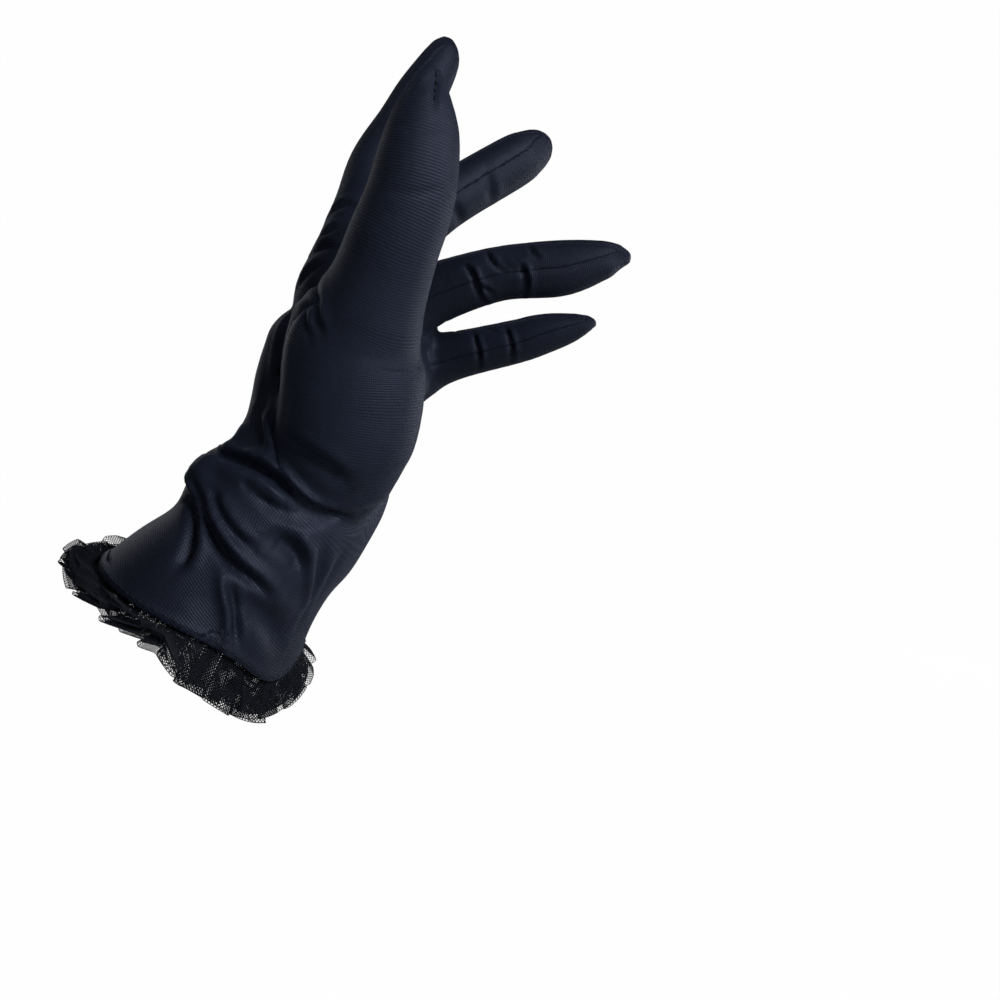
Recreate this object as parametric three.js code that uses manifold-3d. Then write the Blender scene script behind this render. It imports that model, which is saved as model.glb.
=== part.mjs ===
// A wrist-length dress glove for the left hand, in stretch tricot with a tulle ruffle at the cuff,
// standing in the shape of the hand that wore it. Millimetres, +Z up.
// +X is the side that the palm faces and -Y the thumb's side. The origin is the middle of the cuff's hem.
import * as THREE from 'three';
import { mergeVertices } from 'three/addons/utils/BufferGeometryUtils.js';
import Module from 'manifold-3d';

const wasm = await Module();
wasm.setup();

// Cloth
const WALL = 1;              // thickness of the tricot
const SEAM_GAP = 0.35;       // open line that a seam leaves between two pieces of cloth
const SEAM_LAP = 0.5;        // how far the thumb's own cloth reaches past the thumb's form
const INSIDE_STEP = 0.3;     // rows of a table by which the inside of a form stops short of its ends

const MERGE = 1e-3;          // points closer than this are one

// How finely each form is drawn
const HAND_SIDES = 28;
const THUMB_SIDES = 18;
const FINGER_SIDES = 12;

// The hand, hem to knuckles. x, y, z is the middle of a section, wide its half size from the thumb's side to
// the little finger's, deep its half size from the back to the palm. pitch leans the section towards the palm,
// slant drops its little finger's side, roll brings that side round to the palm, all in degrees. square is 2 for
// an oval and more for a squarer section.
const HAND = [
  { x: 0.0, y: 0, z: 0.0, wide: 35.0, deep: 33.3, pitch: 28, slant: 1, roll: 0, square: 2 },
  { x: 7.4, y: 0, z: 8.8, wide: 32.0, deep: 29.8, pitch: 31, slant: 1, roll: 0, square: 2 },
  { x: 15.0, y: 1, z: 16.3, wide: 30.0, deep: 27.0, pitch: 33, slant: 0, roll: 2, square: 2.1 },
  { x: 20.0, y: 2, z: 23.6, wide: 30.0, deep: 28.2, pitch: 32, slant: 0, roll: 4, square: 2.1 },
  { x: 24.6, y: 3, z: 31.5, wide: 30.5, deep: 28.2, pitch: 31, slant: 1, roll: 6, square: 2.2 },
  { x: 31.0, y: 5, z: 38.5, wide: 32.0, deep: 25.0, pitch: 30, slant: 2, roll: 9, square: 2.2 },
  { x: 35.5, y: 8, z: 48.0, wide: 34.0, deep: 21.8, pitch: 25, slant: 4, roll: 12, square: 2.3 },
  { x: 38.5, y: 13, z: 60.0, wide: 37.0, deep: 18.6, pitch: 19, slant: 8, roll: 16, square: 2.5 },
  { x: 41.5, y: 18, z: 72.0, wide: 39.5, deep: 17.0, pitch: 16, slant: 15, roll: 19, square: 2.8 },
  { x: 44.0, y: 22, z: 84.0, wide: 40.5, deep: 16.4, pitch: 14, slant: 21, roll: 20, square: 3 },
  { x: 44.5, y: 25, z: 92.5, wide: 39.0, deep: 15.8, pitch: 14, slant: 24, roll: 20, square: 3 },
  { x: 45.5, y: 26, z: 98.0, wide: 34.5, deep: 12.0, pitch: 15, slant: 24, roll: 20, square: 3 },
  { x: 46.5, y: 26, z: 101.0, wide: 27.0, deep: 6.0, pitch: 16, slant: 24, roll: 20, square: 3 },
];

// The hem hangs lower at one place, turned from the thumb's side towards the palm. Degrees and millimetres.
const HEM_DIP = { turn: 70, spread: 31, depth: 8.3, rows: 1.2 };

// Folds of the loose cloth, each from one place on the hand to another: a row of its table and a turn from the
// thumb's side towards the palm, in degrees. rise is how far it stands out, negative for a crease, in millimetres.
const FOLDS = [
  { row: 4.1, turn: -76, toRow: 4.9, toTurn: 16, rise: -2.6 },
  { row: 3.9, turn: -70, toRow: 4.3, toTurn: -20, rise: 1.4 },
  { row: 4.0, turn: -14, toRow: 4.3, toTurn: 18, rise: -1.6 },
  { row: 3.7, turn: -44, toRow: 1.6, toTurn: 40, rise: -2.2 },
  { row: 3.5, turn: -62, toRow: 0.9, toTurn: -8, rise: -1.8 },
  { row: 2.9, turn: -52, toRow: 1.2, toTurn: 10, rise: 1.2 },
  { row: 1.3, turn: 12, toRow: 0.4, toTurn: 30, rise: 1.4 },
  { row: 3.5, turn: 28, toRow: 2.4, toTurn: 47, rise: -1.8 },
  { row: 7.0, turn: -50, toRow: 5.7, toTurn: -28, rise: -1.2 },
  { row: 4.3, turn: 95, toRow: 4.9, toTurn: 190, rise: -1.8 },
  { row: 2.9, turn: 120, toRow: 1.6, toTurn: 205, rise: -1.6 },
  { row: 3.6, turn: 250, toRow: 2.2, toTurn: 190, rise: -1.6 },
];
const FOLDED_ROWS = 6;       // the row that the loose cloth of the wrist reaches up to
const FOLD_HALF = 6;         // half the width of a fold
const ROW_PITCH = 10.5;      // mean distance between two rows of the hand's table
const TURN_PITCH = 0.55;     // and round the hand for each degree

// The thumb and the ball of the thumb, wrist to tip
const THUMB = [
  { x: 37.0, y: 2, z: 25.0, wide: 6.0, deep: 6.0 },
  { x: 44.0, y: -12, z: 38.0, wide: 12.5, deep: 15.0 },
  { x: 46.7, y: -18, z: 48.5, wide: 16.5, deep: 19.8 },
  { x: 49.5, y: -22, z: 60.3, wide: 17.0, deep: 20.8 },
  { x: 51.8, y: -27, z: 75.1, wide: 15.5, deep: 20.0 },
  { x: 57.0, y: -33, z: 84.9, wide: 13.5, deep: 15.4 },
  { x: 60.4, y: -37, z: 91.2, wide: 12.2, deep: 13.4 },
  { x: 64.5, y: -42, z: 99.8, wide: 11.0, deep: 12.4 },
  { x: 68.8, y: -45, z: 109.1, wide: 10.3, deep: 11.7 },
  { x: 71.3, y: -47, z: 118.6, wide: 9.8, deep: 10.8 },
  { x: 73.2, y: -48, z: 128.4, wide: 8.5, deep: 8.9 },
  { x: 74.8, y: -48, z: 135.3, wide: 6.2, deep: 5.4 },
  { x: 76.3, y: -48, z: 141.2, wide: 2.0, deep: 1.6 },
];

// The four fingers, knuckle to tip
const FINGERS = {
  index: [
    { x: 36.0, y: 5, z: 82.0, wide: 9.0, deep: 11.0 },
    { x: 39.8, y: 3, z: 96.0, wide: 12.5, deep: 12.8 },
    { x: 44.4, y: 2, z: 107.2, wide: 11.5, deep: 11.9 },
    { x: 49.3, y: 5, z: 124.8, wide: 9.6, deep: 10.5 },
    { x: 52.5, y: 9, z: 140.8, wide: 9.0, deep: 9.3 },
    { x: 60.1, y: 12, z: 155.2, wide: 8.5, deep: 8.6 },
    { x: 65.8, y: 15, z: 167.0, wide: 7.8, deep: 8.2 },
    { x: 71.9, y: 18, z: 179.3, wide: 6.2, deep: 6.6 },
    { x: 73.6, y: 19.0, z: 184.6, wide: 4.8, deep: 5.0 },
    { x: 74.4, y: 19.5, z: 188.4, wide: 2.0, deep: 2.2 },
  ],
  middle: [
    { x: 37.0, y: 18, z: 86.0, wide: 9.0, deep: 10.0 },
    { x: 40.0, y: 19, z: 99.0, wide: 11.5, deep: 13.0 },
    { x: 52.0, y: 20, z: 115.7, wide: 10.2, deep: 11.5 },
    { x: 66.0, y: 22, z: 128.7, wide: 9.2, deep: 9.8 },
    { x: 77.0, y: 24, z: 137.2, wide: 9.0, deep: 9.1 },
    { x: 96.6, y: 29, z: 150.6, wide: 8.6, deep: 8.8 },
    { x: 102.2, y: 31, z: 154.7, wide: 7.6, deep: 7.8 },
    { x: 106.6, y: 32, z: 158.0, wide: 5.6, deep: 6.0 },
    { x: 109.2, y: 33, z: 160.2, wide: 2.6, deep: 2.8 },
  ],
  ring: [
    { x: 39.0, y: 35, z: 80.0, wide: 9.0, deep: 10.0 },
    { x: 46.0, y: 36, z: 93.0, wide: 11.5, deep: 12.5 },
    { x: 60.0, y: 34.5, z: 102.0, wide: 10.2, deep: 12.0 },
    { x: 73.0, y: 32, z: 106.8, wide: 9.4, deep: 10.4 },
    { x: 92.6, y: 28, z: 111.3, wide: 9.0, deep: 9.3 },
    { x: 113.5, y: 26, z: 112.5, wide: 8.6, deep: 9.5 },
    { x: 127.1, y: 24, z: 114.6, wide: 6.4, deep: 6.9 },
    { x: 132.5, y: 23.5, z: 115.5, wide: 4.4, deep: 4.8 },
    { x: 137.5, y: 23, z: 115.2, wide: 1.6, deep: 1.8 },
  ],
  little: [
    { x: 44.0, y: 46, z: 64.0, wide: 8.0, deep: 9.0 },
    { x: 51.0, y: 49, z: 76.0, wide: 10.0, deep: 13.0 },
    { x: 63.5, y: 48, z: 83.0, wide: 9.2, deep: 11.8 },
    { x: 75.9, y: 45, z: 85.8, wide: 8.2, deep: 9.0 },
    { x: 98.0, y: 37, z: 89.3, wide: 7.4, deep: 7.9 },
    { x: 106.9, y: 34, z: 91.2, wide: 7.0, deep: 7.3 },
    { x: 116.5, y: 31, z: 92.8, wide: 5.2, deep: 5.5 },
    { x: 123.0, y: 28.5, z: 93.9, wide: 3.0, deep: 3.1 },
    { x: 126.2, y: 28, z: 93.8, wide: 1.2, deep: 1.2 },
  ],
};

// The strips of cloth between the fingers. side 1 is the thumb's side of a finger and -1 the other, from and to
// are the rows of its table that the strip starts and ends at, and the web is the ball round the fork.
const FOURCHETTES = [
  { name: 'fourchette_index_middle', legs: [['index', -1, 2, 8], ['middle', 1, 2, 7]], web: [50, 13, 120] },
  { name: 'fourchette_middle_ring', legs: [['middle', -1, 2, 7], ['ring', 1, 2, 7]], web: [60, 27, 112] },
  { name: 'fourchette_ring_little', legs: [['ring', -1, 2, 7], ['little', 1, 2, 7]], web: [68, 41, 94] },
];
const STRIP_BACK = -0.3;     // where its edge on the back lies, as a share of half the finger's depth
const STRIP_FRONT = 0.9;     // and its edge on the palm side
const STRIP_POINT = 0.3;     // and the middle of its pointed end
const STRIP_END = 0.1;       // how near to that both edges come
const STRIP_REACH = 3;       // how far its cutter stands out past the finger's side
const WEB_RADIUS = 8;

// The ruffle: tulle gathered under the hem
const PLEATS = 21;
const RUFFLE_LENGTH = 13;    // hem to outer edge
const TUCK_ROW = 0.25;       // where in the hand's table its inner edge lies, inside the cuff
const RUFFLE_CLEAR = 1.0;    // open line between it and the cuff
const RUFFLE_BEND = 5;       // length below the hem over which it bends outwards
const PLEAT_HEIGHT = 2.8;
const PLEAT_CURL = 1.1;      // how far the folds lean over their neighbours
const POINTS_A_PLEAT = 6;

// How the ruffle lies: lean is how far it turns outwards from hanging straight, at a turn from the thumb's side
// towards the palm, in degrees. The last row is the first one again, a whole turn on.
const RUFFLE_LIE = [
  { turn: -180, lean: 28 },
  { turn: -145, lean: 32 },
  { turn: -125, lean: 75 },
  { turn: -105, lean: 98 },
  { turn: -30, lean: 95 },
  { turn: 3, lean: 90 },
  { turn: 22, lean: 26 },
  { turn: 34, lean: 16 },
  { turn: 46, lean: 28 },
  { turn: 60, lean: 26 },
  { turn: 76, lean: 36 },
  { turn: 92, lean: 48 },
  { turn: 110, lean: 54 },
  { turn: 130, lean: 48 },
  { turn: 150, lean: 34 },
  { turn: 180, lean: 28 },
];

const TRICOT = new THREE.MeshStandardMaterial({ color: 0x10131f, roughness: 0.62, metalness: 0 });
const TULLE = new THREE.MeshStandardMaterial({ color: 0x0a0b12, roughness: 0.8, metalness: 0 });

const THUMBWARDS = new THREE.Vector3(0, -1, 0);
const radians = THREE.MathUtils.degToRad;
const bell = (x) => Math.exp(-x * x);

// Catmull-Rom value of one column of a table at row position t.
function column(rows, key, t) {
  const i = Math.min(Math.floor(t), rows.length - 2);
  const at = (k) => rows[Math.min(Math.max(k, 0), rows.length - 1)][key];
  const u = t - i;
  const [a, b, c, d] = [at(i - 1), at(i), at(i + 1), at(i + 2)];
  return 0.5 * (2 * b + (c - a) * u + (2 * a - 5 * b + 4 * c - d) * u * u + (3 * b - a - 3 * c + d) * u ** 3);
}

const centre = (rows, t) => new THREE.Vector3(...['x', 'y', 'z'].map((key) => column(rows, key, t)));

// The axes of a section of a finger: across towards the thumb's side, palm towards the palm, along to the tip.
function fingerFrame(rows, t) {
  const step = 0.01;
  const at = THREE.MathUtils.clamp(t, step, rows.length - 1 - step);
  const along = centre(rows, at + step).sub(centre(rows, at - step)).normalize();
  const across = THUMBWARDS.clone().addScaledVector(along, -THUMBWARDS.dot(along)).normalize();
  return { along, across, palm: along.clone().cross(across).negate() };
}

// The axes of a section of the hand, from the angles in its table.
function handFrame(rows, t) {
  const turn = new THREE.Matrix4().makeRotationY(radians(column(rows, 'pitch', t)));
  turn.multiply(new THREE.Matrix4().makeRotationX(radians(column(rows, 'slant', t))));
  turn.multiply(new THREE.Matrix4().makeRotationZ(-radians(column(rows, 'roll', t))));
  const axis = (x, y, z) => new THREE.Vector3(x, y, z).applyMatrix4(turn);
  return { along: axis(0, 0, 1), across: axis(0, -1, 0), palm: axis(1, 0, 0) };
}

// The ring of points of an oval section, grown by a margin.
function oval(rows, frameOf, t, sides, grow) {
  const { across, palm } = frameOf(rows, t);
  const middle = centre(rows, t);
  const wide = Math.max(column(rows, 'wide', t) + grow, 0.3);
  const deep = Math.max(column(rows, 'deep', t) + grow, 0.3);
  const power = 2 / (rows[0].square ? column(rows, 'square', t) : 2);
  const squared = (value) => Math.sign(value) * Math.abs(value) ** power;
  return Array.from({ length: sides }, (_, k) => {
    const angle = (2 * Math.PI * k) / sides;
    return middle.clone()
      .addScaledVector(across, wide * squared(Math.cos(angle)))
      .addScaledVector(palm, deep * squared(Math.sin(angle)));
  });
}

// A closed solid through rings of points, each with as many points, ends closed by fans.
function solidThrough(rings) {
  const sides = rings[0].length;
  const points = rings.flat();
  const ends = [rings[0], rings[rings.length - 1]].map((ring) =>
    ring.reduce((sum, p) => sum.add(p), new THREE.Vector3()).divideScalar(sides));
  const faces = [];
  for (let r = 0; r + 1 < rings.length; r += 1) {
    for (let k = 0; k < sides; k += 1) {
      const [a, b] = [r * sides + k, r * sides + ((k + 1) % sides)];
      faces.push(a, b, b + sides, a, b + sides, a + sides);
    }
  }
  const lastRing = (rings.length - 1) * sides;
  for (let k = 0; k < sides; k += 1) {
    const next = (k + 1) % sides;
    faces.push(points.length, next, k, points.length + 1, lastRing + k, lastRing + next);
  }
  const geometry = new THREE.BufferGeometry().setFromPoints([...points, ...ends]);
  geometry.setIndex(faces);
  return outward(toSolid(geometry));
}

function toSolid(geometry, tolerance = 1e-4) {
  const bare = geometry.clone();
  ['normal', 'uv'].forEach((name) => bare.deleteAttribute(name));
  const merged = mergeVertices(bare, tolerance);
  return new wasm.Manifold(new wasm.Mesh({
    numProp: 3,
    vertProperties: new Float32Array(merged.attributes.position.array),
    triVerts: new Uint32Array(merged.index.array),
  }));
}

// Turns a solid whose faces point inwards right side out.
function outward(solid) {
  if (solid.volume() > 0) return solid;
  const mesh = solid.getMesh();
  const turned = mesh.triVerts.slice();
  for (let k = 0; k < turned.length; k += 3) [turned[k], turned[k + 1]] = [turned[k + 1], turned[k]];
  return new wasm.Manifold(new wasm.Mesh({ numProp: 3, vertProperties: mesh.vertProperties, triVerts: turned }));
}

function largestPiece(solid) {
  return solid.decompose().sort((a, b) => b.volume() - a.volume())[0];
}

function toGeometry(solid) {
  const { numProp, vertProperties, triVerts } = solid.getMesh();
  const geometry = new THREE.BufferGeometry();
  geometry.setAttribute('position', new THREE.BufferAttribute(new Float32Array(vertProperties), numProp));
  geometry.setIndex(new THREE.BufferAttribute(new Uint32Array(triVerts), 1));
  return geometry;
}

// A solid without slivers. Merging points can pinch off a new one, so it is done a few times.
function withoutSlivers(solid) {
  return steps(1, 4, 3).reduce((left) => largestPiece(toSolid(toGeometry(left), MERGE)), solid);
}

function toMesh(name, solid, material) {
  const geometry = toGeometry(withoutSlivers(solid));
  geometry.computeVertexNormals();
  const mesh = new THREE.Mesh(geometry, material);
  mesh.name = name;
  return mesh;
}

const steps = (from, to, count) =>
  Array.from({ length: count + 1 }, (_, k) => (count ? from + ((to - from) * k) / count : from));

// Where along its table a form is drawn: at each row, and also halfway up to the row halfUpTo.
// The inside of the cloth stops short of both ends.
function stationsOf(rows, grow, halfUpTo = 0) {
  const last = rows.length - 1;
  const stations = [...steps(0, halfUpTo, halfUpTo * 2), ...steps(halfUpTo + 1, last, last - 1 - halfUpTo)];
  if (grow < 0) {
    stations[0] += INSIDE_STEP;
    stations[stations.length - 1] -= INSIDE_STEP;
  } else {
    stations[0] -= grow / 4;
  }
  return stations;
}

// A finger's or thumb's form, grown by a margin all over.
function digitForm(rows, sides, grow) {
  const stations = stationsOf(rows, grow);
  return solidThrough(stations.map((t) => oval(rows, fingerFrame, t, sides, grow)));
}

// How far turn b is from turn a, in degrees, the short way round.
const turnsApart = (a, b) => THREE.MathUtils.euclideanModulo(b - a + 180, 360) - 180;

// How far the folds lift the cloth at a place on the hand.
function foldRise(t, turn) {
  return FOLDS.reduce((sum, fold) => {
    const run = new THREE.Vector2((fold.toRow - fold.row) * ROW_PITCH, (fold.toTurn - fold.turn) * TURN_PITCH);
    const place = new THREE.Vector2((t - fold.row) * ROW_PITCH, turnsApart(fold.turn, turn) * TURN_PITCH);
    const share = THREE.MathUtils.clamp(place.dot(run) / run.lengthSq(), 0, 1);
    return sum + fold.rise * bell(place.distanceTo(run.multiplyScalar(share)) / FOLD_HALF);
  }, 0);
}

// The ring of points of the hand's form at row position t.
function handRing(t, sides, grow) {
  const { along } = handFrame(HAND, t);
  const middle = centre(HAND, t);
  return oval(HAND, handFrame, t, sides, grow).map((p, k) => {
    const turn = (360 * k) / sides;
    const dip = bell(turnsApart(HEM_DIP.turn, turn) / HEM_DIP.spread) * bell(t / HEM_DIP.rows);
    const out = p.clone().sub(middle).normalize();
    return p.addScaledVector(out, foldRise(t, turn)).addScaledVector(along, -HEM_DIP.depth * dip);
  });
}

// The hand's form. The inside of the cloth runs on past the hem, so that the cuff is open.
function handForm(grow) {
  const stations = stationsOf(HAND, grow, FOLDED_ROWS);
  if (grow < 0) stations[0] = 0;
  const rings = stations.map((t) => handRing(t, HAND_SIDES, grow));
  if (grow < 0) {
    const { along } = handFrame(HAND, 0);
    rings.unshift(rings[0].map((p) => p.clone().addScaledVector(along, -5)));
  }
  return solidThrough(rings);
}

function gloveForm(grow) {
  const digits = Object.values(FINGERS).map((rows) => digitForm(rows, FINGER_SIDES, grow));
  return [digitForm(THUMB, THUMB_SIDES, grow), ...digits].reduce((sum, d) => sum.add(d), handForm(grow));
}

// One leg of a fourchette's cutter: a band along one side of a finger.
function stripLeg(finger, side, from, to, grow) {
  const rows = FINGERS[finger];
  const stations = steps(from, to, to - from);
  stations[0] -= grow / 5;
  stations[stations.length - 1] += grow / 5;
  const rings = stations.map((t) => {
    const { across, palm } = fingerFrame(rows, t);
    const taper = Math.min(Math.max((t - from) / (to - from), 0), 1) ** 3;
    const reach = side * (column(rows, 'wide', t) + STRIP_REACH + grow);
    const corner = (a, p) => centre(rows, t).addScaledVector(across, a).addScaledVector(palm, p);
    const deep = column(rows, 'deep', t);
    const back = deep * THREE.MathUtils.lerp(STRIP_BACK, STRIP_POINT - STRIP_END, taper) - grow;
    const front = deep * THREE.MathUtils.lerp(STRIP_FRONT, STRIP_POINT + STRIP_END, taper) + grow;
    const inner = -side * grow;
    return [[inner, back], [reach, back], [reach, front], [inner, front]].map((c) => corner(...c));
  });
  return solidThrough(rings);
}

function fourchetteCutter({ legs, web }, grow) {
  const ball = toSolid(new THREE.SphereGeometry(WEB_RADIUS + grow, 10, 8).translate(...web));
  return legs.reduce((sum, leg) => sum.add(stripLeg(...leg, grow)), ball);
}

// How far the ruffle leans outwards at a turn, in radians.
function ruffleLean(turn) {
  const from = RUFFLE_LIE.findLastIndex((row) => row.turn <= turn);
  const [a, b] = [RUFFLE_LIE[from], RUFFLE_LIE[from + 1]];
  return radians(THREE.MathUtils.mapLinear(turn, a.turn, b.turn, a.lean, b.lean));
}

// The tulle ruffle, from its tuck inside the cuff to its outer edge.
function ruffle() {
  const { along } = handFrame(HAND, 0);
  const count = PLEATS * POINTS_A_PLEAT;
  const inside = -(WALL + RUFFLE_CLEAR + WALL / 2);
  const tuck = handRing(TUCK_ROW, count, inside);
  const hem = handRing(0, count, inside);
  const middle = hem.reduce((sum, p) => sum.add(p), new THREE.Vector3()).divideScalar(count);
  const levels = [
    { down: 0.6, height: 0.1 },
    { down: RUFFLE_BEND, height: 0.4 },
    { down: RUFFLE_LENGTH, height: 1 },
  ];
  const lines = levels.map(({ down, height }) => hem.map((p, k) => {
    const phase = (2 * Math.PI * PLEATS * k) / count;
    const out = p.clone().sub(middle).projectOnPlane(along).normalize();
    const lean = ruffleLean(turnsApart(0, (360 * k) / count));
    const bent = Math.min(down, RUFFLE_BEND);
    const tilt = (lean * bent) / RUFFLE_BEND;
    const outwards = (RUFFLE_BEND / lean) * (1 - Math.cos(tilt)) + (down - bent) * Math.sin(lean);
    const downwards = (RUFFLE_BEND / lean) * Math.sin(tilt) + (down - bent) * Math.cos(lean);
    const stands = height * PLEAT_HEIGHT * (0.2 + Math.sin(phase));
    return p.clone()
      .addScaledVector(out, outwards + stands * Math.cos(tilt))
      .addScaledVector(out.clone().cross(along), height * PLEAT_CURL * Math.sin(2 * phase))
      .addScaledVector(along, stands * Math.sin(tilt) - downwards);
  }));
  const sheet = [tuck, ...lines];
  const side = (sign) => sheet.map((line, row) => line.map((p, k) => {
    const ahead = line[(k + 1) % count].clone().sub(line[(k + count - 1) % count]);
    const below = sheet[Math.min(row + 1, sheet.length - 1)][k].clone().sub(sheet[Math.max(row - 1, 0)][k]);
    return p.clone().addScaledVector(ahead.cross(below).normalize(), (sign * WALL) / 2);
  }));
  const rings = [...side(1), ...side(-1).reverse()];
  return closedBand(rings);
}

// A closed solid through rings that come back to the first one.
function closedBand(rings) {
  const sides = rings[0].length;
  const faces = [];
  rings.forEach((ring, r) => ring.forEach((_, k) => {
    const below = ((r + 1) % rings.length) * sides;
    const [a, b] = [r * sides + k, r * sides + ((k + 1) % sides)];
    faces.push(a, b, below + ((k + 1) % sides), a, below + ((k + 1) % sides), below + k);
  }));
  const geometry = new THREE.BufferGeometry().setFromPoints(rings.flat());
  geometry.setIndex(faces);
  return outward(toSolid(geometry));
}

const skin = gloveForm(0).subtract(gloveForm(-WALL));
const thumb = skin.intersect(digitForm(THUMB, THUMB_SIDES, SEAM_LAP));
let hand = skin.subtract(digitForm(THUMB, THUMB_SIDES, SEAM_LAP + SEAM_GAP));

const glove = new THREE.Group();
for (const strip of FOURCHETTES) {
  glove.add(toMesh(strip.name, hand.intersect(fourchetteCutter(strip, 0)), TRICOT));
  hand = hand.subtract(fourchetteCutter(strip, SEAM_GAP));
}
glove.add(toMesh('hand', hand, TRICOT));
glove.add(toMesh('thumb', thumb, TRICOT));
glove.add(toMesh('ruffle', ruffle(), TULLE));

export default glove;
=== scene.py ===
import math
import random

import bmesh
import bpy
import numpy as np
from mathutils import Matrix, Vector
from mathutils.bvhtree import BVHTree


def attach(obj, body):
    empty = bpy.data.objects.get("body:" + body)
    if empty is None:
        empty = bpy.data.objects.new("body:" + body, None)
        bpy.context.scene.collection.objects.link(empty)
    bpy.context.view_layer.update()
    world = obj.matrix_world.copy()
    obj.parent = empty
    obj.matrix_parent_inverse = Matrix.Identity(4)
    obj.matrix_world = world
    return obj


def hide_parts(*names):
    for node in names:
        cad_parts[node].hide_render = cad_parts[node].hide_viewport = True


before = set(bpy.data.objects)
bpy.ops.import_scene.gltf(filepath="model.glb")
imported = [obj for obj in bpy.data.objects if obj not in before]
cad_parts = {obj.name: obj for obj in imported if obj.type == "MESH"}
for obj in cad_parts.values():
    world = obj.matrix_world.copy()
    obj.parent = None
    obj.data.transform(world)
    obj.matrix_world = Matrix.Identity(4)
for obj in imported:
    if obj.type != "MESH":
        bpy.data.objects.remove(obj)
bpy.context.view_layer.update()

# The view of the photograph: level, from the thumb's side, near enough that the thumb looks large.
# EYE is where the lens stands, in millimetres, and FOCAL is its length in pixels of the frame.
MM = 0.001
EYE = Vector((92.3, -252.0, 32.1))
FOCAL = 800
FRAME_HALF = 500
SENSOR = 36
camera = bpy.data.objects.new("camera", bpy.data.cameras.new("camera"))
camera.data.sensor_width = SENSOR
camera.data.lens = SENSOR * FOCAL / (2 * FRAME_HALF)
camera.data.clip_start = 0.01
camera.location = EYE * MM
camera.rotation_euler = (math.pi / 2, 0, 0)
bpy.context.scene.collection.objects.link(camera)
bpy.context.scene.camera = camera

# The form that the tricot is stretched over, which gives the glove its shape: a palm on a wrist, a thumb
# and four fingers, each a row of oval sections. A hand's section is wide from the thumb's side to the
# little finger's and deep from the back to the palm. Millimetres and degrees.
# x, y, z, wide, deep, pitch, slant, roll, square
PALM = np.array([
    (0.0, 0, 0.0, 35.0, 33.3, 28, 1, 0, 2.0),
    (7.4, 0, 8.8, 32.0, 29.8, 31, 1, 0, 2.0),
    (15.0, 1, 16.3, 30.0, 27.0, 33, 0, 2, 2.1),
    (20.0, 2, 23.6, 30.0, 28.2, 32, 0, 4, 2.1),
    (24.6, 3, 31.5, 30.5, 28.2, 31, 1, 6, 2.2),
    (31.0, 5, 38.5, 32.0, 25.0, 30, 2, 9, 2.2),
    (35.5, 8, 48.0, 34.0, 21.8, 25, 4, 12, 2.3),
    (38.5, 13, 60.0, 37.0, 18.6, 19, 8, 16, 2.5),
    (41.5, 18, 72.0, 39.5, 17.0, 16, 15, 19, 2.8),
    (44.0, 22, 84.0, 40.5, 16.4, 14, 21, 20, 3.0),
    (44.5, 25, 92.5, 39.0, 15.8, 14, 24, 20, 3.0),
    (45.5, 26, 98.0, 34.5, 12.0, 15, 24, 20, 3.0),
    (46.5, 26, 101.0, 27.0, 6.0, 16, 24, 20, 3.0),
])
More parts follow.
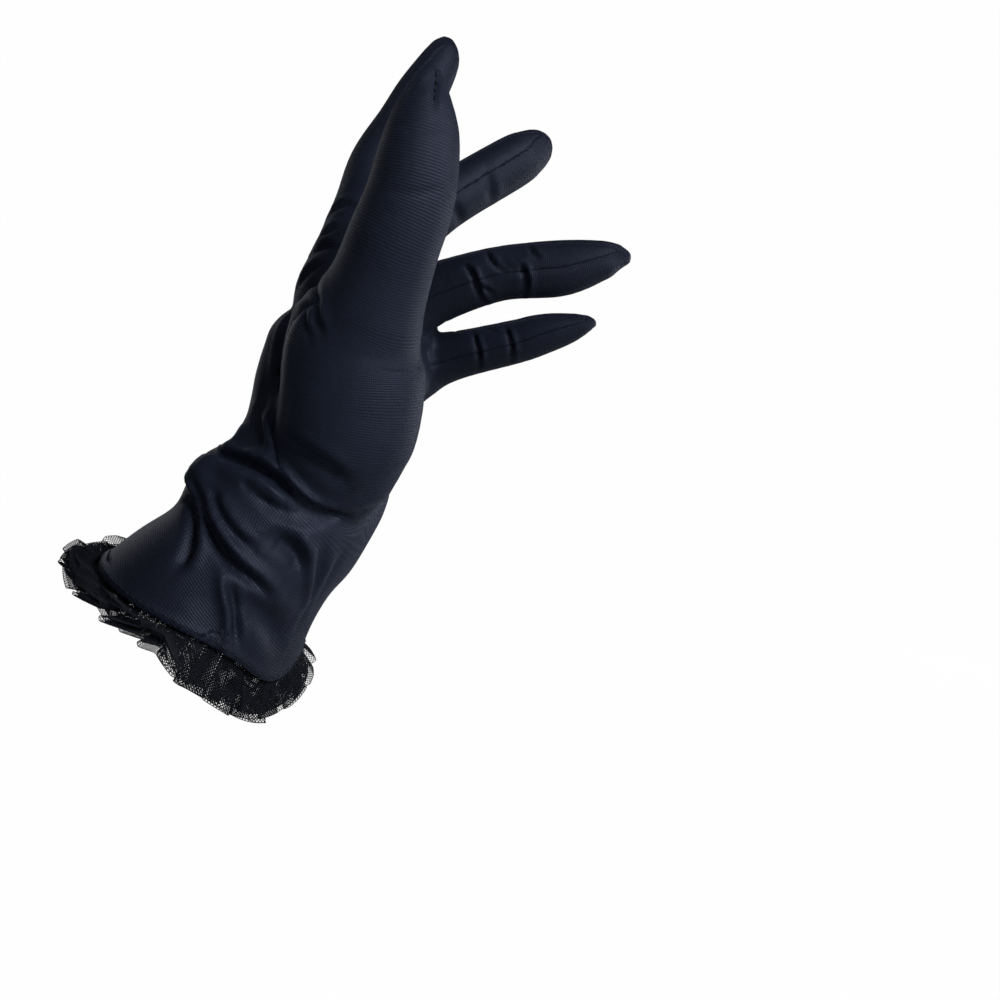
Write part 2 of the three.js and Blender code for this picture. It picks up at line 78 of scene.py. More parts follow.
# x, y, z, wide, deep
DIGITS = {
    "thumb": np.array([
        (37.0, 2, 25.0, 6.0, 6.0),
        (44.0, -12, 38.0, 12.5, 15.0),
        (46.7, -18, 48.5, 16.5, 19.8),
        (49.5, -22, 60.3, 17.0, 20.8),
        (51.8, -27, 75.1, 15.5, 20.0),
        (57.0, -33, 84.9, 13.5, 15.4),
        (60.4, -37, 91.2, 12.2, 13.4),
        (64.5, -42, 99.8, 11.0, 12.4),
        (68.8, -45, 109.1, 10.3, 11.7),
        (71.3, -47, 118.6, 9.8, 10.8),
        (73.2, -48, 128.4, 8.5, 8.9),
        (74.8, -48, 135.3, 6.2, 5.4),
        (76.3, -48, 141.2, 2.0, 1.6),
    ]),
    "index": np.array([
        (36.0, 5, 82.0, 9.0, 11.0),
        (39.8, 3, 96.0, 12.5, 12.8),
        (44.4, 2, 107.2, 11.5, 11.9),
        (49.3, 5, 124.8, 9.6, 10.5),
        (52.5, 9, 140.8, 9.0, 9.3),
        (60.1, 12, 155.2, 8.5, 8.6),
        (65.8, 15, 167.0, 7.8, 8.2),
        (71.9, 18, 179.3, 6.2, 6.6),
        (73.6, 19.0, 184.6, 4.8, 5.0),
        (74.4, 19.5, 188.4, 2.0, 2.2),
    ]),
    "middle": np.array([
        (37.0, 18, 86.0, 9.0, 10.0),
        (40.0, 19, 99.0, 11.5, 13.0),
        (52.0, 20, 115.7, 10.2, 11.5),
        (66.0, 22, 128.7, 9.2, 9.8),
        (77.0, 24, 137.2, 9.0, 9.1),
        (96.6, 29, 150.6, 8.6, 8.8),
        (102.2, 31, 154.7, 7.6, 7.8),
        (106.6, 32, 158.0, 5.6, 6.0),
        (109.2, 33, 160.2, 2.6, 2.8),
    ]),
    "ring": np.array([
        (39.0, 35, 80.0, 9.0, 10.0),
        (46.0, 36, 93.0, 11.5, 12.5),
        (60.0, 34.5, 102.0, 10.2, 12.0),
        (73.0, 32, 106.8, 9.4, 10.4),
        (92.6, 28, 111.3, 9.0, 9.3),
        (113.5, 26, 112.5, 8.6, 9.5),
        (127.1, 24, 114.6, 6.4, 6.9),
        (132.5, 23.5, 115.5, 4.4, 4.8),
        (137.5, 23, 115.2, 1.6, 1.8),
    ]),
    "little": np.array([
        (46.0, 40, 66.0, 5.0, 6.0),
        (51.0, 49, 76.0, 10.0, 13.0),
        (63.5, 48, 83.0, 9.2, 11.8),
        (75.9, 45, 85.8, 8.2, 9.0),
        (98.0, 37, 89.3, 7.4, 7.9),
        (106.9, 34, 91.2, 7.0, 7.3),
        (116.5, 31, 92.8, 5.2, 5.5),
        (123.0, 28.5, 93.9, 3.0, 3.1),
        (126.2, 28, 93.8, 1.2, 1.2),
    ]),
}
SAMPLES_A_ROW = 24
THUMBWARDS = np.array((0.0, -1.0, 0.0))
HEM_DIP_TURN, HEM_DIP_SPREAD, HEM_DIP_DEPTH, HEM_DIP_ROWS = 70, 31, 8.3, 1.2
BELOW_HEM = 8                # how far the form runs on under the hem, to be trimmed off
BELOW_STEPS = 8


def rows_at(rows, t):
    """The table's columns at places t between its rows, on a smooth curve through them."""
    low = np.clip(np.asarray(t, float).astype(int), 0, len(rows) - 2)
    u = (t - low)[:, None]
    a, b, c, d = (rows[np.clip(low + k, 0, len(rows) - 1)] for k in (-1, 0, 1, 2))
    squared, cubed = 2 * a - 5 * b + 4 * c - d, 3 * b - a - 3 * c + d
    return 0.5 * (2 * b + (c - a) * u + squared * u ** 2 + cubed * u ** 3)


def unit(vectors):
    return vectors / np.linalg.norm(vectors, axis=-1, keepdims=True)


def run_of(line):
    """How far along a line each of its points is."""
    return np.concatenate(([0], np.cumsum(np.linalg.norm(np.diff(line, axis=0), axis=1))))


class Limb:
    """A palm or digit as closely spaced sections, each with its middle, its axes and its half sizes."""

    def __init__(self, rows):
        self.t = np.linspace(0, len(rows) - 1, SAMPLES_A_ROW * (len(rows) - 1) + 1)
        columns = rows_at(rows, self.t)
        self.middle, self.wide, self.deep = columns[:, :3], columns[:, 3], columns[:, 4]
        self.length = run_of(self.middle)
        if columns.shape[1] > 5:
            turns = [
                Matrix.Rotation(p, 3, "Y") @ Matrix.Rotation(s, 3, "X") @ Matrix.Rotation(-r, 3, "Z")
                for p, s, r in np.radians(columns[:, 5:8])
            ]
            self.along = np.array([turn.col[2] for turn in turns])
            self.across = -np.array([turn.col[1] for turn in turns])
            self.palm = np.array([turn.col[0] for turn in turns])
            self.square = columns[:, 8]
        else:
            self.along = unit(np.gradient(self.middle, axis=0))
            self.across = unit(THUMBWARDS - self.along * (self.along @ THUMBWARDS)[:, None])
            self.palm = -np.cross(self.along, self.across)
            self.square = np.full(len(self.t), 2.0)

    def point(self, i, turn):
        """The place on section i at a turn from the thumb's side towards the palm, in degrees."""
        ratio = 2 / self.square[i]
        c, s = math.cos(math.radians(turn)), math.sin(math.radians(turn))
        across = self.wide[i] * math.copysign(abs(c) ** ratio, c)
        palm = self.deep[i] * math.copysign(abs(s) ** ratio, s)
        return self.middle[i] + self.across[i] * across + self.palm[i] * palm

    def seen_from(self, points):
        """For each point: the nearest section, and its offsets across, palmwards and along from there."""
        i = np.zeros(len(points), int)
        best = np.full(len(points), np.inf)
        for k in range(len(self.t)):
            gap = ((points - self.middle[k]) ** 2).sum(1)
            nearer = gap < best
            i[nearer], best[nearer] = k, gap[nearer]
        for _ in range(6):
            ahead = ((points - self.middle[i]) * self.along[i]).sum(1)
            pitch = self.length[-1] / (len(self.t) - 1)
            i = np.clip(i + np.rint(0.8 * ahead / pitch).astype(int), 0, len(self.t) - 1)
        off = points - self.middle[i]
        return i, (off * self.across[i]).sum(1), (off * self.palm[i]).sum(1), (off * self.along[i]).sum(1)

    def outside(self, i, across, palm, ahead):
        """About how far a place is outside the limb, negative inside it."""
        power = self.square[i]
        x, y = np.abs(across) / self.wide[i], np.abs(palm) / self.deep[i]
        share = (x ** power + y ** power) ** (1 / power)
        return np.hypot((share - 1) * (self.wide[i] + self.deep[i]) / 2, ahead) * np.sign(share - 1 + 1e-9)


def bell(x):
    return np.exp(-np.square(x))


def turns_apart(a, b):
    return (np.asarray(b) - a + 180) % 360 - 180


def hem_drop(turn, t):
    """How far the hem hangs below its plane, over the heel of the hand."""
    return HEM_DIP_DEPTH * bell(turns_apart(HEM_DIP_TURN, turn) / HEM_DIP_SPREAD) * bell(t / HEM_DIP_ROWS)


LIMBS = {"palm": Limb(PALM), **{name: Limb(rows) for name, rows in DIGITS.items()}}


def grid_of(bm, columns, rows, place):
    """A grid of columns by rows of faces, each point put where place(share across, share up) says."""
    made = bmesh.ops.create_grid(bm, x_segments=columns, y_segments=rows, size=1)["verts"]
    for vert in made:
        vert.co = place((vert.co.x + 1) / 2, (vert.co.y + 1) / 2)
    return made


def limb_place(limb, below):
    last = len(limb.t) - 1

    def place(around, up):
        i = up * (last + below * BELOW_STEPS) - below * BELOW_STEPS
        drop = BELOW_HEM * min(i, 0) / BELOW_STEPS
        i = max(round(i), 0)
        return limb.point(i, around * 360) + limb.along[i] * drop
    return place


VOXEL = 0.92
SMOOTHINGS = 5
PALM_SIDES, DIGIT_SIDES = 72, 36
form = bmesh.new()
for name, limb in LIMBS.items():
    below = 1 if name == "palm" else 0
    sides = PALM_SIDES if below else DIGIT_SIDES
    verts = grid_of(form, sides, len(limb.t) - 1 + below * BELOW_STEPS, limb_place(limb, below))
    bmesh.ops.remove_doubles(form, verts=verts, dist=1e-5)
bmesh.ops.holes_fill(form, edges=[e for e in form.edges if e.is_boundary], sides=0)
bmesh.ops.recalc_face_normals(form, faces=form.faces)


def object_of(bm, name):
    """An object at the origin that holds bm's mesh, with smooth faces."""
    mesh = bpy.data.meshes.new(name)
    bm.to_mesh(mesh)
    bm.free()
    mesh.shade_smooth()
    made = bpy.data.objects.new(name, mesh)
    bpy.context.scene.collection.objects.link(made)
    return made


def with_modifiers(obj):
    """The object's mesh as its modifiers leave it. The object is removed."""
    bpy.context.view_layer.update()
    mesh = bpy.data.meshes.new_from_object(obj.evaluated_get(bpy.context.evaluated_depsgraph_get()))
    bpy.data.objects.remove(obj)
    return mesh


cast = object_of(form, "cast")
remesh = cast.modifiers.new("remesh", "REMESH")
remesh.mode = "VOXEL"
remesh.voxel_size = VOXEL
cloth = bmesh.new()
cloth.from_mesh(with_modifiers(cast))
bmesh.ops.triangulate(cloth, faces=cloth.faces)
for _ in range(SMOOTHINGS):
    bmesh.ops.smooth_vert(
        cloth, verts=cloth.verts, factor=0.5, use_axis_x=True, use_axis_y=True, use_axis_z=True)

# Where each place of the cloth lies on the hand: the course of the knit, counted in millimetres from the
# hem and running on into each digit, and the offsets from the middle of its limb.
SPREAD = 3.0                 # how far a limb's own courses run on into its neighbour
ROOT_SAMPLE = 10
cloth.verts.ensure_lookup_table()
points = np.array([v.co for v in cloth.verts])
palm_limb = LIMBS["palm"]
weights, courses, across_of, palm_of = [], [], [], []
seen = {}
for name, limb in LIMBS.items():
    i, across, palm, ahead = limb.seen_from(points)
    far = limb.outside(i, across, palm, ahead)
    seen[name] = (limb.t[i], across, palm, far)
    root = limb.middle[ROOT_SAMPLE][None, :]
    k, _, _, root_ahead = palm_limb.seen_from(root)
    start = 0 if name == "palm" else palm_limb.length[k[0]] + root_ahead[0] - limb.length[ROOT_SAMPLE]
    weights.append(bell(np.maximum(far, 0) / SPREAD) + 1e-9)
    courses.append(limb.length[i] + ahead + start)
    across_of.append(across)
    palm_of.append(palm)
weights = np.array(weights) / np.sum(weights, axis=0)
course = (weights * courses).sum(0)
own = np.argmax(weights, axis=0)
across = np.take_along_axis(np.array(across_of), own[None], 0)[0]
palm = np.take_along_axis(np.array(palm_of), own[None], 0)[0]
# Tone by stretch and painted shade: lighter where the tricot is stretched, over the palm and thumb, less
# over the fingers and least in the loose cuff. The fingers' darkening, most over the index, is painted
# shade, and so is part of the cuff's, for the shade among its folds.
STRETCH_AND_SHADE = {"palm": 1.1, "thumb": 1.15, "index": 0.55, "middle": 0.75, "ring": 0.6, "little": 0.85}
LOOSE_AND_SHADE, CUFF_SHADE_TO, CUFF_SHADE_FROM = 0.45, 22, 50     # how it shows in the cuff, up to one course and from another
stretch_and_shade = (weights * np.array([[STRETCH_AND_SHADE[name]] for name in LIMBS])).sum(0)
stretch_and_shade = stretch_and_shade * np.interp(course, (CUFF_SHADE_TO, CUFF_SHADE_FROM), (LOOSE_AND_SHADE, 1))
SKEW, SKEW_FROM, SKEW_TO = 0.42, 3.5, 5.5    # the cuff's courses sit aslant, lower on the palm's side
skewed = np.clip((SKEW_TO - seen["palm"][0]) / (SKEW_TO - SKEW_FROM), 0, 1)
course = course + SKEW * skewed * seen["palm"][2] * weights[0]

# Folds and creases of the cloth, as the pull of the pose leaves them. Each follows pixels of the photograph
# where it shows, and rows and turns of the palm's table where it doesn't. sink is how deep it is in
# millimetres, negative for a ridge, width half its width, and lip the roll of cloth on its left as it runs.
# name, sink, width, lip, pixels
SEEN_CREASES = (
    ("wrist fold", 4.6, 1.7, 2.2,
     ((212, 454), (233, 459), (255, 466), (274, 478), (287, 491), (301, 503), (315, 510), (333, 513))),
    ("wrist fold's swell", -2.2, 3.6, 0.0, ((212, 463), (226, 469), (244, 476), (264, 488), (287, 503))),
    ("cuff shoulder", -3.6, 5.8, 0.0, ((222, 459), (209, 466), (199, 481), (194, 500))),
    ("under the ball of the thumb", 2.6, 1.6, 1.0,
     ((244, 481), (258, 495), (276, 506), (300, 514), (322, 518), (346, 516))),
    ("under the ball, between", 1.3, 1.1, 0.6, ((252, 479), (268, 491), (286, 502), (305, 509))),
    ("under the ball, low", 1.2, 1.5, 0.5, ((262, 505), (280, 516), (302, 523), (326, 525))),
    ("cuff diagonal", 3.4, 1.7, 1.9,
     ((200, 482), (203, 507), (208, 525), (219, 546), (235, 566), (255, 582), (271, 596))),
    ("cuff behind", 3.4, 1.9, 1.4, ((189, 474), (190, 489), (192, 512), (192, 535), (187, 553), (180, 566))),
    ("cuff beside the diagonal", 1.5, 1.5, 0.9, ((214, 494), (222, 515), (236, 535), (252, 548))),
    ("cuff ridge", -1.8, 1.5, 0.0, ((221, 572), (224, 594), (229, 616), (228, 648))),
    ("cuff ridge shadow", 2.0, 1.6, 0.0, ((230, 585), (235, 608), (240, 634))),
    ("cuff, low", 2.2, 3.0, 0.8, ((244, 597), (262, 611), (285, 624))),
    ("heel dimple", 3.4, 2.8, 0.8, ((276, 540), (288, 546), (298, 556), (302, 570))),
    ("heel ridge", -1.7, 1.6, 0.0, ((300, 537), (309, 552), (310, 575), (308, 606))),
    ("heel, beside", 1.2, 1.8, 0.5, ((322, 548), (320, 570), (313, 598))),
    ("ball hollow", 2.6, 2.6, 0.8, ((288, 446), (302, 455), (321, 466), (340, 480))),
    ("ball hollow, wide", 1.2, 5.5, 0.0, ((286, 440), (306, 456), (330, 474), (356, 492))),
    ("gusset pleat", 1.1, 1.3, 0.5, ((318, 303), (316, 318), (320, 328))),
    ("gusset pleat beside", 0.9, 1.3, 0.4, ((306, 311), (304, 322), (309, 335))),
    ("back of the hand", 1.2, 2.2, 0.5, ((276, 372), (266, 398), (259, 424), (262, 449))),
    ("dorsal pull", 0.9, 2.4, 0.3, ((250, 425), (252, 440), (240, 452))),
    ("cuff swell", -1.2, 6.0, 0.0, ((222, 492), (236, 520), (256, 545))),
    ("hem swell", -1.0, 6.0, 0.0, ((250, 618), (272, 640), (290, 648))),
    ("hem hollow", 0.9, 5.0, 0.0, ((205, 590), (214, 615), (222, 640))),
    ("hem hollow beside", 0.9, 3.4, 0.0, ((268, 606), (281, 626), (293, 634))),
    ("heel crease", 0.8, 1.8, 0.3, ((318, 600), (330, 575), (346, 549))),
    ("heel pull", 0.6, 1.6, 0.2, ((300, 622), (312, 596), (322, 566))),
    ("thumb joint", 0.35, 1.2, 0.0, ((388, 190), (412, 193), (440, 190))),
    ("thumb tip joint", 0.35, 1.0, 0.0, ((402, 127), (425, 129), (448, 126))),
    ("thumb tip's corner", -1.1, 1.6, 0.0, ((437, 68), (433, 72), (424, 78), (414, 86))),
    ("thumb tip's seam", 0.9, 0.8, 0.3, ((436, 66), (436, 80), (435, 94), (435, 108))),
    ("beside the gusset", -0.45, 0.9, 0.2,
     ((309, 300), (296, 307), (284, 319), (277, 333), (272, 360), (270, 384), (267, 408), (266, 430))),
    ("back of the hand, low", 1.5, 1.6, 0.9, ((254, 414), (259, 430), (262, 446))),
    ("back of the hand, roll", -1.2, 2.4, 0.0, ((244, 424), (238, 438), (228, 449))),
    ("ring first crease", 1.7, 1.0, 0.8, ((465, 267), (471, 272), (476, 284), (480, 296), (486, 304))),
    ("ring first crease's hook", 0.9, 0.9, 0.5, ((476, 284), (484, 288), (492, 293))),
    ("ring second crease", 1.7, 1.0, 0.8, ((521, 266), (525, 275), (526, 286), (524, 299))),
    ("ring upper crease", 1.2, 0.9, 0.5, ((486, 250), (490, 258), (496, 266), (504, 271))),
    ("ring upper crease beside", 1.1, 0.9, 0.5, ((529, 244), (532, 251), (538, 257))),
    ("ring middle pull", 0.7, 1.3, 0.3, ((500, 262), (510, 268), (519, 268))),
    ("little first crease", 1.4, 0.9, 0.6, ((474, 334), (477, 345), (479, 354), (480, 368))),
    ("little second crease", 1.4, 0.9, 0.6, ((506, 328), (510, 340), (512, 350), (512, 362))),
    ("little upper pull", 0.6, 0.9, 0.3, ((488, 328), (496, 332), (504, 331))),
    ("middle first crease", 0.9, 1.8, 0.3, ((488, 172), (490, 186), (492, 200))),
    ("middle root", 1.2, 2.0, 0.0, ((455, 205), (458, 213), (461, 222))),
    ("index crease", 1.2, 1.3, 0.6, ((330, 214), (337, 207), (347, 204), (356, 206))),
    ("index crease below", 1.0, 1.2, 0.5, ((322, 236), (331, 229), (344, 226))),
    ("index root", 1.4, 1.5, 0.7, ((304, 262), (312, 252), (324, 246), (334, 246))),
    ("index root below", 1.1, 1.4, 0.5, ((299, 284), (307, 272), (318, 265))),
)
# name, sink, width, lip, row and turn pairs
HIDDEN_CREASES = (
    ("wrist fold, little finger's side", 2.4, 2.6, 1.2, ((4.7, 128), (4.9, 150), (5.0, 175), (5.0, 200))),
    ("wrist fold, back", 2.2, 2.6, 1.0, ((4.1, 285), (4.0, 262), (3.7, 235), (3.6, 205))),
    ("cuff, back", 1.6, 2.4, 0.8, ((3.0, 280), (2.6, 255), (2.4, 225), (2.6, 195))),
    ("cuff, palm", 1.6, 2.4, 0.6, ((2.6, 125), (2.1, 140), (1.7, 155), (1.5, 175))),
    ("cuff, low at the back", 1.1, 2.2, 0.5, ((1.2, 270), (1.4, 240), (1.0, 210))),
    ("heel of the palm", 1.0, 2.6, 0.3, ((5.6, 95), (5.8, 110), (5.8, 130))),
    ("palm across", 0.9, 2.2, 0.3, ((7.8, 60), (7.4, 85), (6.9, 115), (6.6, 140))),
    ("palm at the fingers", 1.0, 2.2, 0.4, ((9.6, 75), (9.2, 100), (9.0, 130))),
    ("knuckle pull", 0.8, 2.4, 0.3, ((9.4, 235), (8.8, 250), (8.4, 275))),
    ("back of the hand pull", 0.8, 2.4, 0.3, ((7.4, 225), (6.4, 245), (5.6, 270))),
)
LINE_STEP = 0.8              # spacing of the points that a fold's line is measured from
PIXEL_STEP = 3               # spacing of the pixels that a line of the photograph is followed at
LIP_AT, LIP_HALF = 1.7, 1.1  # where the roll beside a fold is and half how wide, in widths of the fold
FADE = 0.55                  # how a fold runs out at its ends, less for a more sudden end


def pixel_ray(x, y):
    return Vector((x - FRAME_HALF, FOCAL, FRAME_HALF - y)).normalized()


def pixels_of(places):
    """Where places in millimetres show in the photograph's frame."""
    depth = places[:, 1] - EYE.y
    return np.stack((
        FRAME_HALF + FOCAL * (places[:, 0] - EYE.x) / depth,
        FRAME_HALF - FOCAL * (places[:, 2] - EYE.z) / depth), axis=1)


def smooth_line(corners, step):
    """Points a step apart, or a little less, on a smooth curve through the corners."""
    corners = np.asarray(corners, float)
    count = max(int(np.linalg.norm(np.diff(corners, axis=0), axis=1).sum() / step), 2)
    return rows_at(corners, np.linspace(0, len(corners) - 1, count + 1))


def on_cloth(tree, pixels):
    """The places where the pixels of a line first meet the cloth. A pixel beside the glove is left out."""
    hits = [tree.ray_cast(EYE, pixel_ray(x, y))[0] for x, y in smooth_line(pixels, PIXEL_STEP)]
    return np.array([hit for hit in hits if hit is not None])


def fold(line, sink, width, lip):
    """Sinks the cloth along a line, with a roll on the line's left."""
    line = smooth_line(line, LINE_STEP)
    reach = 4 * width
    close = np.all((points > line.min(0) - reach) & (points < line.max(0) + reach), axis=1).nonzero()[0]
    if not len(close):
        return
    gaps = np.linalg.norm(points[close, None] - line[None], axis=2)
    at = gaps.argmin(1)
    gap = gaps[np.arange(len(close)), at]
    run = np.gradient(line, axis=0)[at]
    left = np.cross(normals[close], run)
    side = np.sign(((points[close] - line[at]) * left).sum(1))
    fade = np.sin(np.pi * np.clip((at + 0.6) / (len(line) + 0.2), 0, 1)) ** FADE
    roll = bell((side * gap - LIP_AT * width) / (LIP_HALF * width))
    rise[close] += fade * (lip * roll - sink * bell(gap / width))


tree = BVHTree.FromBMesh(cloth)
cloth.normal_update()
normals = np.array([v.normal for v in cloth.verts])
rise = np.zeros(len(points))
for _, sink, width, lip, pixels in SEEN_CREASES:
    line = on_cloth(tree, pixels)
    if len(line) > 2:
        fold(line, sink, width, lip)
for _, sink, width, lip, corners in HIDDEN_CREASES:
    fold([palm_limb.point(min(round(t * SAMPLES_A_ROW), len(palm_limb.t) - 1), turn) for t, turn in corners],
         sink, width, lip)
points = points + normals * rise[:, None]

# The cut of the glove, as fields that are above zero on a piece and nought along its seams. The thumb is
# set into an oval hole: its seam follows the photograph, and behind the thumb it runs down the palm.
# The fourchettes run up the facing sides of two fingers from a web at the fork.
THUMB_SEAM = (
    (400, 40), (372, 95), (352, 150), (334, 205), (318, 262), (316, 290), (317, 300), (304, 308),
    (292, 320), (286, 332), (282, 345), (280, 361), (278, 384), (275, 407), (272, 426), (273, 442),
    (277, 459), (284, 477), (295, 492), (305, 502), (318, 509), (336, 513), (355, 513), (372, 509),
    (400, 500), (440, 488), (480, 475))
# height and the depth that the seam behind the thumb lies at
THUMB_BACK = np.array([(25, -12), (38, -8), (48, -6), (60, -8), (75, -14), (85, -19), (94, -21), (110, -22)])
SIDES = {"thumb's": 1, "little finger's": -1}
# name, legs (finger, side, from row, to row), middle of the web
FOURCHETTES = (
    ("fourchette_index_middle",
     (("index", "little finger's", 2, 8), ("middle", "thumb's", 2, 7)), (50, 13, 120)),
    ("fourchette_middle_ring",
     (("middle", "little finger's", 2, 7), ("ring", "thumb's", 2, 7)), (60, 27, 112)),
    ("fourchette_ring_little",
     (("ring", "little finger's", 2, 7), ("little", "thumb's", 2, 7)), (68, 41, 94)),
)
WEB_RADIUS = 8.0
# Where a strip's edges lie, as shares of half the finger's depth: on the back, on the palm side, where its
# pointed end is, and how far to either side of that they end.
STRIP_BACK, STRIP_FRONT, STRIP_POINT, STRIP_END = -0.3, 0.9, 0.3, 0.1
ROW_MM = 10                  # about what one row of a finger's table is long, for the strip's ends
STRIP_REACH = 2              # how far outside its finger's form a strip's cloth can be
PIXEL_MM = 0.27              # what one pixel of the photograph is at the thumb's seam
SEAM_STEP = 4                # spacing of the pixels that the seam is measured from


def right_of(line, places):
    """How far places are to the right of a line that runs down, in the plane of the line."""
    line = np.asarray(line, float)
    best = np.full(len(places), np.inf)
    signed = np.zeros(len(places))
    for a, b in zip(line[:-1], line[1:]):
        run = b - a
        share = np.clip(((places - a) @ run) / (run @ run), 0, 1)
        off = places - a - share[:, None] * run
        gap = np.hypot(*off.T)
        nearer = gap < best - 1e-9
        best[nearer] = gap[nearer]
        signed[nearer] = (gap * np.sign(run[1] * off[:, 0] - run[0] * off[:, 1]))[nearer]
    return signed


def soft_least(a, b, blend=1.5):
    return (a + b - np.sqrt((a - b) ** 2 + blend ** 2)) / 2


behind = np.interp(points[:, 2], *THUMB_BACK.T) - points[:, 1]
from_seam = right_of(smooth_line(THUMB_SEAM, SEAM_STEP), pixels_of(points)) * PIXEL_MM
fields = {"thumb": soft_least(from_seam, behind)}
for name, legs, web in FOURCHETTES:
    field = WEB_RADIUS - np.linalg.norm(points - web, axis=1)
    for finger, side, low, high in legs:
        t, finger_across, finger_palm, far = seen[finger]
        taper = np.clip((t - low) / (high - low), 0, 1) ** 3
        deep = rows_at(DIGITS[finger], t)[:, 4]
        back = deep * (STRIP_BACK + (STRIP_POINT - STRIP_END - STRIP_BACK) * taper)
        front = deep * (STRIP_FRONT + (STRIP_POINT + STRIP_END - STRIP_FRONT) * taper)
        leg = np.minimum(np.minimum(finger_palm - back, front - finger_palm), SIDES[side] * finger_across)
        leg = np.minimum(leg, np.minimum(t - low, high - t) * ROW_MM)
        field = np.maximum(field, np.minimum(leg, STRIP_REACH - far))
    fields[name] = np.minimum(field, -fields["thumb"])

# The hem is turned in and stitched: a low ridge runs round above the edge. The cloth under it is trimmed.
HEM_RIDGE, HEM_RIDGE_HALF, HEM_RIDGE_UP = 0.45, 0.9, 1.6
CUFF_ROW_MM = 10.5           # how long one row of the palm's table is in the cuff
CUFF_REACH = 6               # how far outside the palm's form the cuff's cloth can be
_, palm_across, palm_palm, palm_far = seen["palm"]
hem_turn = np.degrees(np.arctan2(palm_palm, palm_across))
hem_ahead = (points - palm_limb.middle[0]) @ palm_limb.along[0]
hem_rows = np.clip(hem_ahead / CUFF_ROW_MM, 0, len(PALM) - 1)
hem_shift = np.where(palm_far < CUFF_REACH, hem_drop(hem_turn, hem_rows), 0)
points = points + normals * (HEM_RIDGE * bell((hem_ahead - HEM_RIDGE_UP) / HEM_RIDGE_HALF))[:, None]
points = points - palm_limb.along[0] * hem_shift[:, None]

for vert, place in zip(cloth.verts, points):
    vert.co = place
SHADED_BY = {"course": course, "stretch_and_shade": stretch_and_shade, "around_x": across, "around_y": palm}
layers = {}
for key, values in {**fields, **SHADED_BY, "above_hem": hem_ahead}.items():
    layers[key] = cloth.verts.layers.float.new(key)
    for vert, value in zip(cloth.verts, values):
        vert[layers[key]] = value
SNAP = 0.12                  # a point this near a cut is moved on to it in the field, so no sliver is left


def cut_along(bm, layer):
    """Cuts the cloth where a field passes nought."""
    for vert in bm.verts:
        if abs(vert[layer]) < SNAP:
            vert[layer] = 0.0
    for edge in list(bm.edges):
        a, b = edge.verts
        low, high = a[layer], b[layer]
        if low * high < 0:
            made = bmesh.utils.edge_split(edge, a, low / (low - high))[1]
            made[layer] = 0.0
    on_line = [vert for vert in bm.verts if vert[layer] == 0]
    bmesh.ops.connect_verts(bm, verts=on_line)
    bmesh.ops.triangulate(bm, faces=[f for f in bm.faces if len(f.verts) > 3])


def inside(face, layer):
    """Whether a face that was cut along a field is where the field is above nought."""
    return sum(vert[layer] for vert in face.verts) > 0


cut_along(cloth, layers["above_hem"])
trimmed = [f for f in cloth.faces if not inside(f, layers["above_hem"])]
bmesh.ops.delete(cloth, geom=trimmed, context="FACES")
for name in fields:
    cut_along(cloth, layers[name])

# Seams draw the cloth in and leave it standing a little proud on both sides.
SEAM_SINK, SEAM_HALF, SEAM_PUFF, SEAM_PUFF_AT = 0.5, 0.75, 0.2, 1.9
FINGER_SEAM = 0.45           # how much of that there is on the fingers
cloth.normal_update()
gaps = np.abs([[vert[layers[name]] for name in fields] for vert in cloth.verts])
lifts = SEAM_PUFF * bell(gaps - SEAM_PUFF_AT) - SEAM_SINK * bell(gaps / SEAM_HALF)
lifts = lifts @ np.array([1 if name == "thumb" else FINGER_SEAM for name in fields])
for vert, lift in zip(cloth.verts, lifts):
    vert.co += vert.normal * float(lift)


class Wire:
    """A socket of a shader tree. Sums on wires add Math nodes, and node() adds any other node."""

    def __init__(self, tree, socket=None):
        self.tree, self.socket = tree, socket

    def node(self, kind, settings, sockets, output=0):
        made = self.tree.nodes.new(kind)
        for key, value in settings.items():
            setattr(made, key, value)
        for key, value in sockets.items():
            if isinstance(value, Wire):
                self.tree.links.new(value.socket, made.inputs[key])
            else:
                made.inputs[key].default_value = value
        return Wire(self.tree, made.outputs[output] if made.outputs else None)

    def sum(self, operation, *values):
        return self.node("ShaderNodeMath", {"operation": operation}, dict(enumerate(values)))

    def __add__(self, other):
        return self.sum("ADD", self, other)

    def __radd__(self, other):
        return self.sum("ADD", other, self)

    def __sub__(self, other):
        return self.sum("SUBTRACT", self, other)

    def __rsub__(self, other):
        return self.sum("SUBTRACT", other, self)

    def __mul__(self, other):
        return self.sum("MULTIPLY", self, other)

    def sine(self):
        return self.sum("SINE", self)

    def mix(self, low, high):
        """A colour from low where this is 0 to high where it is 1."""
        return self.node("ShaderNodeMix", {"data_type": "RGBA"}, {0: self, 6: low, 7: high}, 2)


def material_of(name):
    material = bpy.data.materials.new(name)
    material.use_nodes = True
    material.node_tree.nodes.clear()
    return material, Wire(material.node_tree)


def finish_material(start, sockets):
    """A Principled shader with these sockets, as the material's surface."""
    shader = start.node("ShaderNodeBsdfPrincipled", {}, sockets)
    start.node("ShaderNodeOutputMaterial", {}, {"Surface": shader})


# Tricot: a fine warp knit of nylon, dyed blue-black. Its courses show as ribs 0.7 mm apart round the hand,
# and its wales as a finer grain along it. The filaments are smooth, so it has a soft satin sheen.
COURSE_PITCH, WALE_PITCH = 0.7, 0.4
LIMB_RADIUS = 14.0           # what the wales' pitch is counted on, round the middle of a limb
NAVY_DEEP, NAVY_LIT = (0.0024, 0.0032, 0.0074, 1), (0.0132, 0.0172, 0.0316, 1)
NAVY_WORN = (0.0155, 0.0185, 0.0315, 1)


